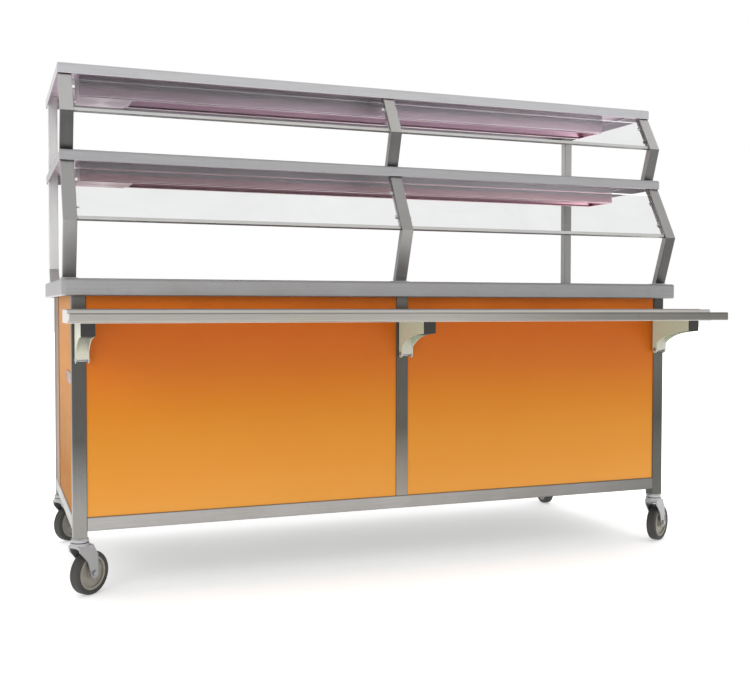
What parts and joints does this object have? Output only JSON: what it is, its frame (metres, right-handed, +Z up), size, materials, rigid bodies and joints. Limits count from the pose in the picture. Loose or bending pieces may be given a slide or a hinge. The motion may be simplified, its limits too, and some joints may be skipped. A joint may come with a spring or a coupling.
{
  "type": "mobile serving counter",
  "caption": "Mobile serving counter: panelled cabinet on swivel casters, glass-fronted heated overshelves and a fold-down tray slide.",
  "frame": {"origin": "on the floor, at the middle of the overall footprint", "axes": "+Z up, -Y towards the customer side, +X to the right seen from the customer side"},
  "size_m": [2.109, 1.1532, 1.548],
  "materials": {
    "stainless_tube": "brushed stainless tube",
    "stainless_sheet": "brushed stainless sheet",
    "orange_laminate": "satin orange laminate",
    "clear_glass": "clear toughened glass",
    "reflector_sheet": "bright reflector sheet",
    "element_sheath": "heating element sheath",
    "white_ceramic": "white ceramic",
    "black_plastic": "black plastic",
    "light_paint": "light grey paint",
    "plated_steel": "zinc plated steel",
    "tyre_rubber": "dark rubber tread",
    "hub_plastic": "grey wheel centre"
  },
  "bodies": {
    "cabinet": {"bottom_deck": "stainless_sheet", "bottom_rails": "stainless_tube", "caster_stems": "plated_steel", "cord_gland": "black_plastic", "corner_posts_front": "stainless_tube", "corner_posts_rear": "stainless_tube", "countertop": "stainless_sheet", "end_cover_plate": "orange_laminate", "end_panels": "orange_laminate", "end_stiles": "stainless_sheet", "glass_clips": "stainless_sheet", "glass_lower_left": "clear_glass", "glass_lower_right": "clear_glass", "glass_trims": "stainless_sheet", "glass_upper_left": "clear_glass", "glass_upper_right": "clear_glass", "guard_post_centre": "stainless_tube", "guard_post_left": "stainless_tube", "guard_post_right": "stainless_tube", "heater_housings": "stainless_sheet", "heater_rods": "element_sheath", "junction_box": "stainless_sheet", "mid_shelf": "stainless_sheet", "panel_front_left": "orange_laminate", "panel_front_right": "orange_laminate", "post_feet": "stainless_tube", "post_front_centre": "stainless_tube", "rear_posts": "stainless_tube", "reflectors": "reflector_sheet", "rod_holders": "white_ceramic", "screws_and_pins": "plated_steel", "shelf_lower": "stainless_sheet", "shelf_upper": "stainless_sheet", "slide_wall_clips": "plated_steel", "switch_boxes": "stainless_sheet", "top_rails": "stainless_tube"},
    "tray_slide": {"tray_slide_top": "stainless_sheet", "tray_slide_bar": "stainless_sheet", "slide_arms": "light_paint", "arm_end_caps": "black_plastic"},
    "rocker_lower_body": {"rocker_lower": "black_plastic"},
    "rocker_upper_body": {"rocker_upper": "black_plastic"},
    "caster_fl": {"fork_fl": "plated_steel", "axle_fl": "plated_steel"},
    "wheel_fl": {"tyre_fl": "tyre_rubber", "hub_fl": "hub_plastic"},
    "caster_fr": {"fork_fr": "plated_steel", "axle_fr": "plated_steel"},
    "wheel_fr": {"tyre_fr": "tyre_rubber", "hub_fr": "hub_plastic"},
    "caster_rl": {"fork_rl": "plated_steel", "fork_pins_rl": "plated_steel"},
    "wheel_rl": {"tyre_rl": "tyre_rubber", "hub_rl": "hub_plastic"},
    "brake_rl": {"brake_pedal_rl": "plated_steel"},
    "caster_rr": {"fork_rr": "plated_steel", "fork_pins_rr": "plated_steel"},
    "wheel_rr": {"tyre_rr": "tyre_rubber", "hub_rr": "hub_plastic"},
    "brake_rr": {"brake_pedal_rr": "plated_steel"}
  },
  "joints": [
    {"name": "tray_slide_fold", "type": "hinge", "parent": "cabinet", "child": "tray_slide", "pos_m": [-0.02146, -0.28762, 0.686], "axis": [1, 0, 0], "range_deg": [0, 90]},
    {"name": "swivel_fl", "type": "hinge", "parent": "cabinet", "child": "caster_fl", "pos_m": [-1.00646, -0.25362, 0.15], "axis": [0, 0, 1], "continuous": true},
    {"name": "roll_fl", "type": "hinge", "parent": "caster_fl", "child": "wheel_fl", "pos_m": [-0.97848, -0.23096, 0.0635], "axis": [-0.6293, 0.7771, 0], "continuous": true},
    {"name": "swivel_fr", "type": "hinge", "parent": "cabinet", "child": "caster_fr", "pos_m": [0.96354, -0.25362, 0.15], "axis": [0, 0, 1], "continuous": true},
    {"name": "roll_fr", "type": "hinge", "parent": "caster_fr", "child": "wheel_fr", "pos_m": [0.9944, -0.23508, 0.0635], "axis": [-0.515, 0.8572, 0], "continuous": true},
    {"name": "swivel_rl", "type": "hinge", "parent": "cabinet", "child": "caster_rl", "pos_m": [-1.00646, 0.47138, 0.15], "axis": [0, 0, 1], "continuous": true},
    {"name": "roll_rl", "type": "hinge", "parent": "caster_rl", "child": "wheel_rl", "pos_m": [-0.97848, 0.49404, 0.0635], "axis": [-0.6293, 0.7771, 0], "continuous": true},
    {"name": "brake_rl", "type": "hinge", "parent": "caster_rl", "child": "brake_rl", "pos_m": [-0.9676, 0.50285, 0.14], "axis": [0.6293, -0.7771, 0], "range_deg": [0, 14]},
    {"name": "swivel_rr", "type": "hinge", "parent": "cabinet", "child": "caster_rr", "pos_m": [0.96354, 0.47138, 0.15], "axis": [0, 0, 1], "continuous": true},
    {"name": "roll_rr", "type": "hinge", "parent": "caster_rr", "child": "wheel_rr", "pos_m": [0.9673, 0.50718, 0.0635], "axis": [-0.9945, 0.1045, 0], "continuous": true},
    {"name": "brake_rr", "type": "hinge", "parent": "caster_rr", "child": "brake_rr", "pos_m": [0.96877, 0.52111, 0.14], "axis": [0.9945, -0.1045, 0], "range_deg": [0, 14]},
    {"name": "switch_lower", "type": "hinge", "parent": "cabinet", "child": "rocker_lower_body", "pos_m": [-0.90646, 0.11338, 1.2475], "axis": [1, 0, 0], "range_deg": [-16, 0]},
    {"name": "switch_upper", "type": "hinge", "parent": "cabinet", "child": "rocker_upper_body", "pos_m": [-0.90646, 0.11338, 1.506], "axis": [1, 0, 0], "range_deg": [-16, 0]}
  ]
}
